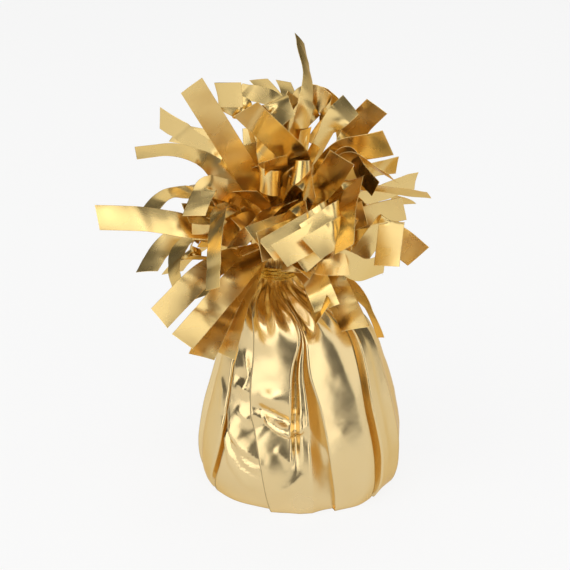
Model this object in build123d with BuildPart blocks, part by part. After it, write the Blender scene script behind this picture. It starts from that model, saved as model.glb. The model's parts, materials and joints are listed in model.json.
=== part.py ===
# Foil balloon weight: a cast core in a pleated film wrap, tied at the neck under a cut fringe.
# Millimetres, +Z up, base on Z = 0, the photographed side faces -Y.
import os
from math import acos, cos, degrees, pi, radians, sin, tan

from build123d import *

os.makedirs("parts", exist_ok=True)

# Film thicknesses: the real film is about 0.03, drawn thick enough to be a solid
wrap_film = 0.4
strip_film = 0.3
soft_gap = 0.3

# Cast core
core_radius = 26.6
core_top_radius = 23.4
core_height = 32.0
core_edge = 4.0

# Film wrap: heights of the rings, how far the pleats stand out there, and the lean of the neck
belly_height = 12.0
shoulder_height = 45.0
throat_height = 57.0
wrap_top = 63.4
hem_pleat = 1.2
belly_pleat = 4.0
core_top_pleat = 3.4
shoulder_pleat = 3.6
throat_pleat = 3.2
top_pleat = 1.4
shoulder_radius = 18.7
throat_radius = 10.8
neck_lean = -6.8
pleat_half_angle = 5.0

# Azimuths of the pleat valleys, from +X, the photographed ones first
pleat_valleys = (188, 206, 226, 250, 276, 300, 314, 331, 350, 372, 396, 420, 446, 474, 500, 524)

# Gathered neck under the fringe
neck_radius = 6.2
crown_radius = 8.0
crown_rise = 11.0

# Neck tie: tinsel thread wound round the gathered neck, its two ends knotted at the back
thread = 0.6
tie_turns = 3
tie_pitch = 1.1
tie_below = 1.0
tie_above = 0.35
tie_gap = 0.1
tie_open = 50.0
knot_radius = 1.2

# Fringe strips
strip_width = 7.2
strip_root_width = 2.0
strip_spread = 18.0
strip_seat = 0.35
bend_step = 24.0

# Heights that follow: the waist holds the winding with bare neck below and above, then the crown swells
wind_angle = 360 * tie_turns - 2 * tie_open
wind_rise = tie_pitch * wind_angle / 360
tie_height = wrap_top + top_pleat / 2 + tie_below + thread / 2
waist_top = tie_height + wind_rise + thread / 2 + tie_above
waist_angle = degrees(acos(neck_radius / crown_radius))
crown_height = waist_top + crown_rise * sin(radians(waist_angle))

# Strips as cut and bent: heading at the root (azimuth, rise, roll), then turns (from, to, and the
# heading turned to), then the length. Roll 0 lies flat, roll 90 stands on edge.
upper_left_strips = (
    ((-141, 60, 75), ((1, 19, -148, 58, 73),), 46),
    ((125, 63, 38), ((25, 30, 188, 32, 113), (35, 40, 323, 8, 81)), 48),
    ((85, 53, 65), ((28, 36, 175, 14, -19),), 46),
    ((127, 37, -8), ((19, 33, 155, 5, -36),), 42),
    ((171, 45, -49), ((15, 24, 196, 28, -24), (25, 35, 192, -4, -14)), 42),
    ((117, 50, -16), ((6, 18, 94, 44, 6),), 26),
)
top_strips = (
    ((-47, 64, -3), ((9, 23, -148, 44, 83),), 43),
    ((86, 45, 24), ((28, 38, 137, 36, -16),), 46),
    ((84, 39, 46), ((38, 44, 116, 48, 25),), 47),
    ((9, 79, 77), ((7, 23, 58, 63, 90), (26, 41, 110, 50, 62)), 50),
    ((114, 72, 27), ((20, 26, 148, 117, -11), (28, 34, 112, 220, 63)), 40),
    ((74, 48, 76), ((32, 42, -46, -23, 79), (43, 52, -81, -33, 60)), 57),
    ((70, 60, 69), ((29, 37, -32, -28, 86), (40, 48, -139, -41, 173)), 56),
    ((27, 45, -73), ((21, 27, -27, 62, -76), (29, 35, -22, 46, -89)), 40),
    ((-5, 54, -38), ((17, 25, -27, 15, -65),), 37),
)
right_strips = (
    ((-19, 49, -49), ((21, 29, -43, -18, -55),), 41),
    ((20, 34, -77), ((13, 23, 19, 7, -58),), 34),
    ((-8, 36, -42), ((13, 21, -28, 2, -51), (22, 30, -10, -6, -49)), 41),
    ((15, 18, -74), ((10, 24, 21, 14, -63),), 37),
    ((-22, 17, -84), ((15, 23, -14, 18, -96),), 32),
    ((-51, 0, -80), ((23, 26, 3, 54, -65), (40, 43, -101, -45, 9)), 56),
    ((-13, 6, -69), ((20, 30, -48, -21, -102),), 37),
)
front_strips = (
    ((-47, 24, -52), ((12, 22, -128, 1, -41),), 50),
    ((-42, 25, -44), ((17, 25, -103, -5, -7),), 47),
    ((-71, 12, -76), ((20, 28, -105, -4, -21),), 40),
    ((-35, 40, -33), ((19, 31, -98, -7, 39), (45, 56, -93, -39, 47)), 62),
    ((-63, 37, -22), ((25, 35, -63, 48, -27),), 42),
    ((-85, 44, 27), ((5, 19, -124, -19, 8),), 35),
    ((-95, 70, 62), ((9, 15, -150, -6, 80), (15, 30, 125, -12, 84)), 31),
    ((-66, 58, -21), ((11, 16, 4, 23, -80), (16, 31, -285, -12, -76)), 32),
)
left_strips = (
    ((-157, 45, -71), ((9, 12, -152, 19, -57), (18, 21, -109, -29, 7)), 31),
    ((169, 27, -7), ((11, 21, 191, 2, -10), (23, 31, 227, -28, 4)), 36),
    ((-154, 11, -3), ((6, 21, -171, 16, -53), (23, 37, -167, 6, -61)), 46),
    ((170, 1, -10), ((14, 23, 218, -21, -5), (24, 32, 237, -36, 25)), 37),
    ((-172, 3, -10), ((13, 23, -108, -27, 26), (24, 34, -76, -32, 78)), 38),
    ((-130, 32, -38), ((13, 25, -96, -19, 31), (26, 38, -94, -55, 36)), 48),
)
low_strips = (
    ((-134, -5, -28), ((13, 27, -128, -23, -33),), 42),
    ((-109, -1, -1), ((7, 23, -124, -23, -30),), 49),
    ((-138, -31, -9), ((3, 13, -104, -49, 16),), 25),
    ((-121, -19, -9), ((13, 23, -113, -31, -26),), 41),
    ((-126, -28, -10), ((8, 18, -108, -41, 11),), 33),
    ((-58, -4, -89), ((13, 23, -65, -32, -142),), 40),
    ((-64, -8, 82), ((13, 17, -86, -16, 37), (25, 29, -79, -8, 41)), 36),
    ((-24, -25, -79), ((16, 26, -21, -62, -48),), 35),
)

# Strips between, told in part among the others, and short ones that fill the heart of the fringe
between_strips = (
    ((147, 43, -20), ((15, 25, 143, 20, -98),), 44),
    ((-177, 13, -29), ((12, 18, -106, -20, -26),), 24),
    ((-39, 31, -34), ((15, 23, -105, -5, -15),), 45),
    ((-77, 11, -75), ((20, 28, -106, -26, -7),), 33),
    ((-64, 7, 84), ((27, 33, 15, -37, 105), (34, 40, 46, 4, 106)), 46),
    ((-41, -13, 88), ((5, 13, -56, -4, 85),), 21),
    ((-15, 29, -77), ((12, 18, -32, -41, -102),), 21),
    ((61, 66, 71), ((21, 27, 46, 28, 66),), 31),
    ((3, 64, -54), ((24, 31, 53, 18, -142),), 36),
    ((-167, 72, -62), ((0, 10, -229, 69, -13),), 18),
    ((-145, 83, -55), ((1, 11, -229, 80, 5),), 21),
    ((-160, 38, -60), ((3, 13, -93, -17, -6),), 29),
    ((-111, 25, -62), ((12, 17, -127, -1, -28),), 20),
)
heart_strips = (
    ((10, -23, 16), ((5, 15, 47, -21, -17),), 23),
    ((202, -18, 8), ((5, 15, 240, -31, 28),), 23),
    ((325, -4, -33), ((5, 15, 348, -12, -30),), 23),
    ((18, -6, 21), ((5, 15, 47, -27, 38),), 23),
    ((162, -29, 40), ((5, 15, 150, -36, 24),), 23),
    ((270, 21, 70), ((5, 15, 265, 3, 67),), 23),
    ((183, -14, 7), ((5, 15, 187, -55, -24),), 23),
    ((359, 4, -32), ((5, 15, 388, -36, -8),), 23),
    ((246, 5, 5), ((5, 15, 276, 17, 24),), 23),
    ((63, 25, -3), ((5, 15, 62, 36, 5),), 23),
    ((207, 25, -13), ((5, 15, 210, 11, -37),), 23),
    ((326, 16, 48), ((5, 15, 345, 27, 63),), 22),
)

# Unseen back of the fringe: two staggered rows that arch down, evenly round
back_count = 10
back_from = 36.0
back_step = 11.5
back_rows = (
    ((18, 8), (8, 44, 6, -32, -12), 46),
    ((-14, -6), (8, 44, -5, -48, 14), 42),
)


def on_circle(radius, azimuth):
    """Point of a circle round the vertical axis."""
    return radius * cos(radians(azimuth)), radius * sin(radians(azimuth))


def core_side(height):
    """Radius of the core's drafted side at a height above its seat."""
    return core_radius + (core_top_radius - core_radius) * height / core_height


def pleated_outline(valley, ridge, lean):
    """Corners of one ring of the wrap: flat panels with a narrow V at each pleat valley."""
    corners = []
    for azimuth in pleat_valleys:
        for side, radius in ((-1, ridge), (0, valley), (1, ridge)):
            x, y = on_circle(radius, azimuth + side * pleat_half_angle)
            corners.append((x + lean, y))
    return corners


def pleated_solid(rings):
    """Ruled solid through the rings, given as height, valley radius, ridge radius and lean."""
    with BuildPart() as skin:
        for height, valley, ridge, lean in rings:
            with BuildSketch(Plane.XY.offset(height)):
                with BuildLine():
                    Polyline(*pleated_outline(valley, ridge, lean), close=True)
                make_face()
        loft(ruled=True)
    return skin.part


def strip_headings(root, turns, at):
    """Azimuth, rise and roll of a strip at a distance from its root."""
    now = root
    for start, end, *to in turns:
        share = min(max((at - start) / (end - start), 0), 1)
        now = tuple(a + (b - a) * share for a, b in zip(now, to))
    return now


def strip_axes(azimuth, rise, roll):
    """Directions along and across a strip."""
    a, r, o = radians(azimuth), radians(rise), radians(roll)
    along = Vector(cos(r) * cos(a), cos(r) * sin(a), sin(r))
    lift = Vector(-sin(r) * cos(a), -sin(r) * sin(a), cos(r))
    side = Vector(-sin(a), cos(a), 0)
    return along, side * cos(o) + lift * sin(o)


def strip_stops(root, turns, length):
    """Distances at which a strip's section is drawn: close together where it turns."""
    stops = [0.0, strip_spread, length]
    before = root
    for start, end, *to in turns:
        turned = max(abs(b - a) for a, b in zip(before, to))
        count = max(1, round(turned / bend_step))
        stops += [start + (end - start) * k / count for k in range(count + 1)]
        before = to
    stops = sorted(s for s in stops if s <= length)
    return [s for k, s in enumerate(stops) if k == 0 or s - stops[k - 1] > 0.4]


def strip_sections(root, turns, length):
    """Planes and widths of a strip's sections, walked outwards from its seat on the crown."""
    azimuth, rise, _ = root
    along, _ = strip_axes(*root)
    reach = crown_radius * cos(radians(rise))
    x, y = on_circle(reach, azimuth)
    at = Vector(x + neck_lean, y, crown_height + crown_rise * sin(radians(rise)))
    at += along * strip_seat
    stops = strip_stops(root, turns, length)
    for before, stop in zip([0.0] + stops, stops):
        walk = 8
        for k in range(walk):
            middle = before + (stop - before) * (k + 0.5) / walk
            along, _ = strip_axes(*strip_headings(root, turns, middle))
            at += along * ((stop - before) / walk)
        along, across = strip_axes(*strip_headings(root, turns, stop))
        spread = min(stop / strip_spread, 1)
        width = strip_root_width + (strip_width - strip_root_width) * spread
        yield Plane(origin=at, x_dir=across, z_dir=along), width


def strip_solid(root, turns, length):
    """Ruled film solid through a strip's sections."""
    with BuildPart() as strip:
        for plane, width in strip_sections(root, turns, length):
            with BuildSketch(plane):
                Rectangle(width, strip_film)
        loft(ruled=True)
    return strip.part


def save(part, name):
    """Label one piece and write its file."""
    part.label = name
    export_step(part, f"parts/{name}.step")


# Cast core: drafted, with rounded rims, seated on the wrap's floor
with BuildPart() as weight_core:
    with BuildSketch(Plane.XZ):
        with BuildLine():
            Polyline(
                (0, wrap_film),
                (core_radius, wrap_film),
                (core_top_radius, wrap_film + core_height),
                (0, wrap_film + core_height),
                close=True,
            )
        make_face()
    revolve(axis=Axis.Z)
    fillet(weight_core.edges().filter_by(GeomType.CIRCLE), core_edge)
save(weight_core.part, "weight_core")

# Film wrap: pleated skin over the core, drawn in to the leaning neck
wall_offset = wrap_film + soft_gap
core_rings = [
    (height, core_side(max(height - wrap_film, 0)) + wall_offset, pleat)
    for height, pleat in ((0, hem_pleat), (belly_height, belly_pleat), (core_height, core_top_pleat))
]
wrap_rings = [(height, valley, valley + pleat, 0) for height, valley, pleat in core_rings]
wrap_rings += [
    (shoulder_height, shoulder_radius, shoulder_radius + shoulder_pleat, 0),
    (throat_height, throat_radius, throat_radius + throat_pleat, 0.55 * neck_lean),
    (wrap_top, neck_radius - top_pleat / 2, neck_radius + top_pleat / 2, neck_lean),
]
inner_rings = [(h, v - wrap_film, r - wrap_film, lean) for h, v, r, lean in wrap_rings]
inner_rings[0] = (wrap_film, *inner_rings[0][1:])
outer_skin = pleated_solid(wrap_rings)
inner_skin = pleated_solid(inner_rings)
with BuildPart() as film_wrap:
    add(outer_skin)
    add(inner_skin, mode=Mode.SUBTRACT)
save(film_wrap.part, "film_wrap")

# Gathered film: the plies bunched to a waist under the tie and an egg-shaped crown above it
gather_flare = neck_radius + top_pleat / 2
neck_axis = Axis((neck_lean, 0, 0), (0, 0, 1))
with BuildPart() as neck_gather:
    with BuildSketch(Plane((neck_lean, 0, 0), x_dir=(1, 0, 0), z_dir=(0, -1, 0))):
        with BuildLine():
            foot = Polyline(
                (0, crown_height + crown_rise),
                (0, wrap_top),
                (gather_flare, wrap_top),
                (neck_radius, wrap_top + gather_flare - neck_radius),
                (neck_radius, waist_top),
            )
            EllipticalCenterArc(
                (0, crown_height),
                crown_radius,
                crown_rise,
                start_angle=-waist_angle,
                arc_size=90 + waist_angle,
            )
        make_face()
    revolve(axis=neck_axis)
save(neck_gather.part, "neck_gather")

# Neck tie: one unbroken winding, arc by arc of about a quarter turn, with a straight run at each end
wind_radius = neck_radius + tie_gap + thread / 2
wind_from = 90 + tie_open
wind_arcs = round(wind_angle / 90)
run_length = wind_radius * tan(radians(tie_open)) - knot_radius - tie_gap
wind_points = []
for k in range(wind_arcs + 1):
    x, y = on_circle(wind_radius, wind_from + wind_angle * k / wind_arcs)
    wind_points.append(Vector(x + neck_lean, y, tie_height + wind_rise * k / wind_arcs))
x, y = on_circle(1, wind_from + 90)
first_run = Vector(x, y, tie_pitch / (2 * pi * wind_radius)).normalized()
run_start = wind_points[0] - first_run * run_length
with BuildPart() as neck_tie:
    with BuildLine() as route:
        Line(run_start, wind_points[0])
        for start, end in zip(wind_points, wind_points[1:]):
            TangentArc(start, end, tangent=route.edges()[-1] % 1)
        last_run = route.edges()[-1] % 1
        Line(wind_points[-1], wind_points[-1] + last_run * run_length)
    with BuildSketch(Plane(origin=run_start, z_dir=first_run)):
        Circle(thread / 2)
    sweep()
save(neck_tie.part, "neck_tie")

# Least gap between neighbouring turns, measured on points along the route
sample_count = 12
apart_count = 30
samples = [edge @ (k / sample_count) for edge in route.edges() for k in range(sample_count)]
least = min(
    (p - q).length
    for k, p in enumerate(samples)
    for q in samples[k + apart_count :]
)
print(f"neck tie: least gap to itself {least - thread:.2f} mm")

# Knot: both ends of the thread run into it, square to its side
knot_reach = wind_radius / cos(radians(tie_open))
knot_middle = tie_height + wind_rise / 2
with BuildPart() as tie_knot:
    with Locations((neck_lean, knot_reach, knot_middle)):
        Cylinder(knot_radius, wind_rise + 3 * thread)
    fillet(tie_knot.edges().filter_by(GeomType.CIRCLE), 0.8 * knot_radius)
save(tie_knot.part, "tie_knot")

# Fringe strips: ruled film solids, numbered group by group
back_strips = []
for k in range(back_count):
    (rise, roll), (start, end, turn, end_rise, end_roll), length = back_rows[k % len(back_rows)]
    azimuth = back_from + back_step * k
    back_strips.append(
        ((azimuth, rise, roll), ((start, end, azimuth + turn, end_rise, end_roll),), length)
    )
number = 0
for group in (
    upper_left_strips,
    top_strips,
    right_strips,
    front_strips,
    left_strips,
    low_strips,
    back_strips,
):
    for row in group:
        number += 1
        save(strip_solid(*row), f"fringe_strip_{number:02d}")

# Strips between and at the heart: separate solids that share one file
with BuildPart() as fringe_between:
    for row in (*between_strips, *heart_strips):
        add(strip_solid(*row))
save(fringe_between.part, "fringe_between")
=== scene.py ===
# %% [markdown]
# # A gold foil balloon weight
# The real thing is a cast block wrapped in one sheet of metallised film. The film is drawn up in
# pleats, tied at the neck with tinsel thread, and cut into strips above the tie. Film is thin and
# springy: it makes flat panels, sharp folds and clean-cut ribbons. So each piece here is a surface
# worked out with numpy from fold lines and headings, and the gold is a metal shader that takes its
# light and dark from what it reflects.

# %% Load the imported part
import json
from math import cos, pi, radians, sin

import bpy
import numpy as np
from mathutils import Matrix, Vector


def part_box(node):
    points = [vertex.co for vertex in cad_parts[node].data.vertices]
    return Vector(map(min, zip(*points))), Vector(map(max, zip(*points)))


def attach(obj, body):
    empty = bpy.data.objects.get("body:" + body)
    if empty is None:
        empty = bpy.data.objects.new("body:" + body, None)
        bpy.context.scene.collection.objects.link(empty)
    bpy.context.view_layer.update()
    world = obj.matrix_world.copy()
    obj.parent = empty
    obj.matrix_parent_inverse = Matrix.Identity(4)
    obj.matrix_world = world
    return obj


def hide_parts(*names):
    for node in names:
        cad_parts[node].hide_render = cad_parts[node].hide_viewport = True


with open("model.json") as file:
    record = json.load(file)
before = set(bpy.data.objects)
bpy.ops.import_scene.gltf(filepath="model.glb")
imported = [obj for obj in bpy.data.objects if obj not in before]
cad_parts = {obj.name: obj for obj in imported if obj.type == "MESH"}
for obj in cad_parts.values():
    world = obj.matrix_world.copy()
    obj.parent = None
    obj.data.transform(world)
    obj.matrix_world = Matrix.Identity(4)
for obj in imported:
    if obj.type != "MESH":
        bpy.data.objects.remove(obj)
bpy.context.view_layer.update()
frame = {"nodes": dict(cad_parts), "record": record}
MM = 0.001
scene = bpy.context.scene
node_body = {n: b for b, nodes in frame["record"]["behaviour"]["bodies"].items() for n in nodes}

# %% [markdown]
# ## The camera
# The photograph looks down a little from the front. A long lens keeps the strips that reach forward
# from growing, as lenses for product pictures do. The camera is set first, because every fold and strip
# is then judged against the photograph through it.

# %% Camera
view_rise = radians(20)
view_target = np.array([-4.45, 0.0, 61.0]) * MM
view_distance = 470.3 * MM
camera_data = bpy.data.cameras.new("camera")
camera_data.lens = 100
camera_data.sensor_width = 36
camera = bpy.data.objects.new("camera", camera_data)
camera.location = view_target + view_distance * np.array([0, -cos(view_rise), sin(view_rise)])
camera.rotation_euler = (pi / 2 - view_rise, 0, 0)
scene.collection.objects.link(camera)
scene.camera = camera
print("camera at", [round(v, 3) for v in camera.location])

# %% [markdown]
# ## From numbers to a mesh
# A surface is a grid of points: rows along one direction, columns along the other. Four neighbours make
# a face. The index of every face comes from one array, so no vertex is visited by hand.


# %% Grid to mesh
def surface(name, points, ring=False, pole=None, far_pole=None):
    """Object from a grid of points (rows, columns, xyz) in millimetres: quads between neighbours.

    ring joins the last column to the first. A pole closes the first row with a fan to that point, and a
    far pole closes the last row.
    """
    rows, columns = points.shape[:2]
    index = np.arange(rows * columns).reshape(rows, columns)
    if ring:
        index = np.concatenate([index, index[:, :1]], axis=1)
    corners = (index[:-1, :-1], index[:-1, 1:], index[1:, 1:], index[1:, :-1])
    faces = np.stack(corners, axis=-1).reshape(-1, 4).tolist()
    vertices = points.reshape(-1, 3)
    for edge, point in ((index[0, ::-1], pole), (index[-1], far_pole)):
        if point is not None:
            fan = np.stack([edge[:-1], edge[1:], np.full(len(edge) - 1, len(vertices))], axis=-1)
            faces += fan.tolist()
            vertices = np.concatenate([vertices, [point]])
    mesh = bpy.data.meshes.new(name)
    mesh.from_pydata((vertices * MM).tolist(), [], faces)
    mesh.polygons.foreach_set("use_smooth", np.ones(len(mesh.polygons), bool))
    mesh.update()
    made = bpy.data.objects.new(name, mesh)
    scene.collection.objects.link(made)
    return made


def smooth_through(at, stops, values):
    """Cubic Hermite curve through the values at the stops; each slope comes from the two neighbours."""
    stops, values = np.asarray(stops, float), np.asarray(values, float)
    slopes = np.gradient(values, stops, axis=0)
    k = np.clip(np.searchsorted(stops, at, side="right") - 1, 0, len(stops) - 2)
    span = stops[k + 1] - stops[k]
    t = (at - stops[k]) / span
    if values.ndim > 1:
        span, t = span[:, None], t[:, None]
    start = (1 + 2 * t) * (1 - t) ** 2 * values[k] + t * (1 - t) ** 2 * span * slopes[k]
    end = t * t * (3 - 2 * t) * values[k + 1] + t * t * (t - 1) * span * slopes[k + 1]
    return start + end


# %% [markdown]
# ## The film's finish
# Metallised film is a mirror behind a thin lacquer. Its colour is the colour of the metal: light that
# bounces once is pale gold, and light that bounces several times inside the folds turns orange and
# brown. A metal shader does that by itself. The strips get a deeper orange gold than the wrap, though
# both are one film: that is painted shade, for the brown of light lost among the packed strips. The
# lacquer is a clear coat, the satin comes from a roughness that drifts a little, and the faint cockle
# of handled film is a small bump. All patterns sit in Object coordinates.


# %% Material helpers
def new_material(name):
    """Material with its node tree, its links and its main shader."""
    material = bpy.data.materials.new(name)
    material.use_nodes = True
    tree = material.node_tree
    return material, tree.nodes, tree.links, tree.nodes["Principled BSDF"]


def noise(nodes, links, size, detail=2.0):
    """Noise texture on Object coordinates, with features of about the given size in millimetres."""
    place = nodes.new("ShaderNodeTexCoord")
    texture = nodes.new("ShaderNodeTexNoise")
    texture.inputs["Scale"].default_value = 1 / (size * MM)
    texture.inputs["Detail"].default_value = detail
    links.new(place.outputs["Object"], texture.inputs["Vector"])
    return texture.outputs["Fac"]


def spread(nodes, links, value, low, high):
    """A 0.3 to 0.7 noise value stretched to a range."""
    ranged = nodes.new("ShaderNodeMapRange")
    ranged.inputs["From Min"].default_value = 0.3
    ranged.inputs["From Max"].default_value = 0.7
    ranged.inputs["To Min"].default_value = low
    ranged.inputs["To Max"].default_value = high
    links.new(value, ranged.inputs["Value"])
    return ranged.outputs["Result"]


def bump(nodes, links, height, depth, strength, shader):
    """Bump of a depth in millimetres into the shader's normal."""
    relief = nodes.new("ShaderNodeBump")
    relief.inputs["Strength"].default_value = strength
    relief.inputs["Distance"].default_value = depth * MM
    links.new(height, relief.inputs["Height"])
    links.new(relief.outputs["Normal"], shader.inputs["Normal"])


def tint(nodes, links, value, one, other, shader):
    """Colour that drifts between two tones."""
    mix = nodes.new("ShaderNodeMix")
    mix.data_type = "RGBA"
    mix.inputs["A"].default_value = (*one, 1)
    mix.inputs["B"].default_value = (*other, 1)
    links.new(value, mix.inputs["Factor"])
    links.new(mix.outputs["Result"], shader.inputs["Base Color"])


# %% Gold film, tinsel thread and cast block
def gold_film(name, tones, rough, cockle_size, cockle_strength):
    """Satin metallised film: metal with a clear lacquer, drifting roughness and a faint cockle."""
    material, nodes, links, shader = new_material(name)
    shader.inputs["Metallic"].default_value = 1.0
    shader.inputs["Specular Tint"].default_value = (0.9, 0.72, 0.42, 1)
    shader.inputs["Coat Weight"].default_value = 0.1
    shader.inputs["Coat Roughness"].default_value = 0.2
    drift = noise(nodes, links, size=9.0)
    tint(nodes, links, drift, *tones, shader)
    links.new(spread(nodes, links, drift, *rough), shader.inputs["Roughness"])
    cockle = noise(nodes, links, cockle_size, detail=3.0)
    bump(nodes, links, cockle, depth=0.3, strength=cockle_strength, shader=shader)
    return material


def tinsel_thread():
    """Bright twisted tinsel: a yellower metal, glittering from a fine sharp bump."""
    material, nodes, links, shader = new_material("tinsel_thread")
    shader.inputs["Metallic"].default_value = 1.0
    drift = noise(nodes, links, size=0.7)
    tint(nodes, links, drift, (0.70, 0.40, 0.05), (0.95, 0.68, 0.17), shader)
    links.new(spread(nodes, links, drift, low=0.16, high=0.34), shader.inputs["Roughness"])
    glitter = noise(nodes, links, size=0.25, detail=1.0)
    bump(nodes, links, glitter, depth=0.1, strength=0.6, shader=shader)
    return material


def cast_block():
    """Pale cast cement: speckled, rough and pitted."""
    material, nodes, links, shader = new_material("cast_block")
    grain = noise(nodes, links, size=1.2, detail=6.0)
    tint(nodes, links, grain, (0.46, 0.44, 0.40), (0.70, 0.68, 0.63), shader)
    links.new(spread(nodes, links, grain, low=0.8, high=0.95), shader.inputs["Roughness"])
    pits = noise(nodes, links, size=0.8, detail=8.0)
    bump(nodes, links, pits, depth=0.4, strength=0.5, shader=shader)
    return material


wrap_tones = ((0.84, 0.63, 0.31), (0.89, 0.70, 0.38))
# The strip tones are a deeper, more orange gold than the wrap's, though both are one film: painted shade
# for the browning among the packed strips.
strip_tones_painted_shade = ((0.85, 0.61, 0.23), (0.90, 0.67, 0.29))
wrap_rough, strip_rough = (0.18, 0.28), (0.20, 0.34)
wrap_gold = gold_film("wrap_film", wrap_tones, wrap_rough, cockle_size=3.0, cockle_strength=0.10)
strip_gold = gold_film("strip_film", strip_tones_painted_shade, strip_rough, cockle_size=4.0, cockle_strength=0.12)
tinsel = tinsel_thread()
cement = cast_block()
core_node = frame["nodes"]["weight_core"]
core_node.data.materials.clear()
core_node.data.materials.append(cement)
print("materials", [m.name for m in (wrap_gold, strip_gold, tinsel, cement)])

# %% [markdown]
# ## The wrap
# The film goes under the block and up round it, and its spare width is laid into folds. A fold line is
# a crease that runs from the hem to the neck. Between two creases the film is nearly flat, so the wrap
# is a set of crease lines with panels drawn across from one to the next. A crease is given at seven
# heights by its azimuth and by how far it stands out from the plain outline. Where film tucks under a
# neighbour the next crease simply lies further back, which a height map could not do. The azimuths of
# the front creases follow the photograph.

# %% Outline and creases of the wrap
outline_heights = (0, 1, 3, 12, 22, 30, 36, 45, 52, 57, 60, 63.4, 66.5)
outline_radii = (28.7, 29.3, 29.9, 30.5, 29.2, 27.3, 25.6, 22.8, 19.6, 16.2, 13.2, 7.6, 5.9)
lean_heights = (0, 40, 48, 57, 63.4, 66.5)
lean_shift = (0, 0, -0.6, -3.7, -6.8, -6.8)
base_corners = (176, 192.5, 216, 227, 252, 270, 288, 312.5, 346)
base_corners += (372, 396, 420, 446, 474, 500, 524, 536)
crease_heights = (0, 12, 32, 45, 57, 63.4, 66.5)
sharp, soft = 0, 1
front_creases = (
    (soft, (176, 176, 176, 177, 178, 178, 178), (0, 0.4, 0.4, 0.3, 0.2, 0.2, 0)),
    (sharp, (183, 183, 183, 185, 188, 190, 190), (0, 0.6, 0.6, 0.4, 0.2, 0.2, 0)),
    (sharp, (186, 186.5, 186.5, 188.5, 191, 194, 194), (-0.6, -2.6, -3.0, -2.4, -1.2, -0.4, 0)),
    (soft, (191, 192, 193, 195, 196, 198, 198), (0.1, 0.8, 0.6, 0.4, 0.3, 0.3, 0)),
    (soft, (199, 200, 200, 199, 200, 201, 201), (0.2, 0.6, 0.4, 0.3, 0.1, 0, 0)),
    (sharp, (203.5, 215.3, 217.3, 213, 209, 208, 208), (0.2, 0.9, 0.5, 0.2, 0.2, 0.2, 0)),
    (sharp, (205, 216.2, 218.0, 215, 211, 210, 210), (-2.0, -4.2, -1.8, -1.2, -0.9, -0.5, 0)),
    (sharp, (209, 219.8, 218.9, 217, 213, 212, 212), (0.2, 0.5, 0.3, 0.1, 0.2, 0.2, 0)),
    (soft, (226, 228, 228, 225, 224, 218, 218), (0.1, 0.4, -0.4, -0.4, 1.0, 0, 0)),
    (sharp, (256.5, 253, 241.5, 239.5, 240, 231, 231), (-1.0, -2.0, -2.2, -1.6, 0.6, -0.4, 0)),
    (sharp, (252.7, 248.9, 237.5, 235.2, 236.3, 228, 228), (0.2, 0.9, 1.0, 1.2, 2.5, 0.4, 0)),
    (soft, (258, 254.5, 246.5, 244, 246, 238, 238), (0.2, 0.9, 1.0, 1.4, 2.7, 0.4, 0)),
    (soft, (260, 259, 255.5, 255, 259, 250, 250), (0.1, 0.3, 0.6, 1.4, 2.6, 0.4, 0)),
    (sharp, (263, 264, 263.3, 265.7, 275.6, 262, 262), (0, 0.2, 0.9, 1.2, 2.2, 0.4, 0)),
    (sharp, (266.5, 267, 265.8, 267.4, 276.4, 265, 265), (0, 0.1, -2.6, -2.2, 0.8, -0.3, 0)),
    (sharp, (270, 270, 269.4, 269.6, 277.2, 268, 268), (0, 0.1, 0.3, 0.4, 1.6, 0, 0)),
    (sharp, (277.2, 275.6, 273.6, 272.4, 278, 270, 270), (0.1, 0.3, 0.2, 0.3, 1.6, 0, 0)),
    (soft, (280.2, 278.7, 276.4, 274.0, 278.6, 272, 272), (-0.7, -1.0, -1.1, -0.9, 0.9, -0.4, 0)),
    (soft, (286.5, 284.2, 280, 275.6, 279.2, 274, 274), (-2.0, -3.7, -3.8, -2.6, 0.4, -0.4, 0)),
    (sharp, (293, 290.5, 284.5, 278.5, 281, 277, 277), (-1.2, -2.4, -2.4, -1.8, 0.6, -0.4, 0)),
    (sharp, (290.8, 287.4, 281.5, 275.3, 279, 275.5, 275.5), (0.3, 0.2, 0.2, 0.7, 1.9, 0.3, 0)),
    (soft, (299, 298, 297, 296.5, 297, 286, 286), (0.7, 0.5, 0.3, 0.7, 2.0, 0.4, 0)),
    (soft, (307, 309, 308.5, 302, 304, 297, 297), (1.3, 1.2, 1.0, 0.9, 1.5, 0.3, 0)),
    (sharp, (317.6, 315.8, 312.8, 315.5, 318, 309, 309), (0.2, 0.2, 0.2, 0.2, 0.4, 0.3, 0)),
    (sharp, (319.4, 318.0, 315.2, 318.2, 320.4, 311, 311), (-1.3, -2.8, -2.8, -2.2, -0.9, -0.3, 0)),
    (sharp, (320.3, 319.2, 316.6, 320.0, 322.2, 313, 313), (-1.3, -2.8, -2.8, -2.2, -0.9, -0.3, 0)),
    (sharp, (321.2, 320.2, 317.8, 321.6, 323.8, 316, 316), (0.7, 1.2, 1.2, 1.1, 0.9, 0.3, 0)),
    (sharp, (330, 328, 326, 331, 333, 331, 331), (0.1, 0.5, 0.5, 0.4, 0.3, 0.3, 0)),
    (soft, (335, 333, 331.5, 336, 338, 336, 336), (0, -0.3, -0.4, -0.2, -0.1, 0, 0)),
    (sharp, (346, 344, 341.5, 346, 347, 344, 344), (0.2, 0.6, 0.6, 0.5, 0.3, 0.3, 0)),
    (soft, (352, 350, 348, 352, 353, 350, 350), (0, -0.4, -0.5, -0.3, -0.2, 0, 0)),
)
print("front creases", len(front_creases))

# %% [markdown]
# The back isn't seen, so its folds follow a rule: a groove or an overlap at each valley of the solid
# part, with lean and depth that vary by a seeded draw.

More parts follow.
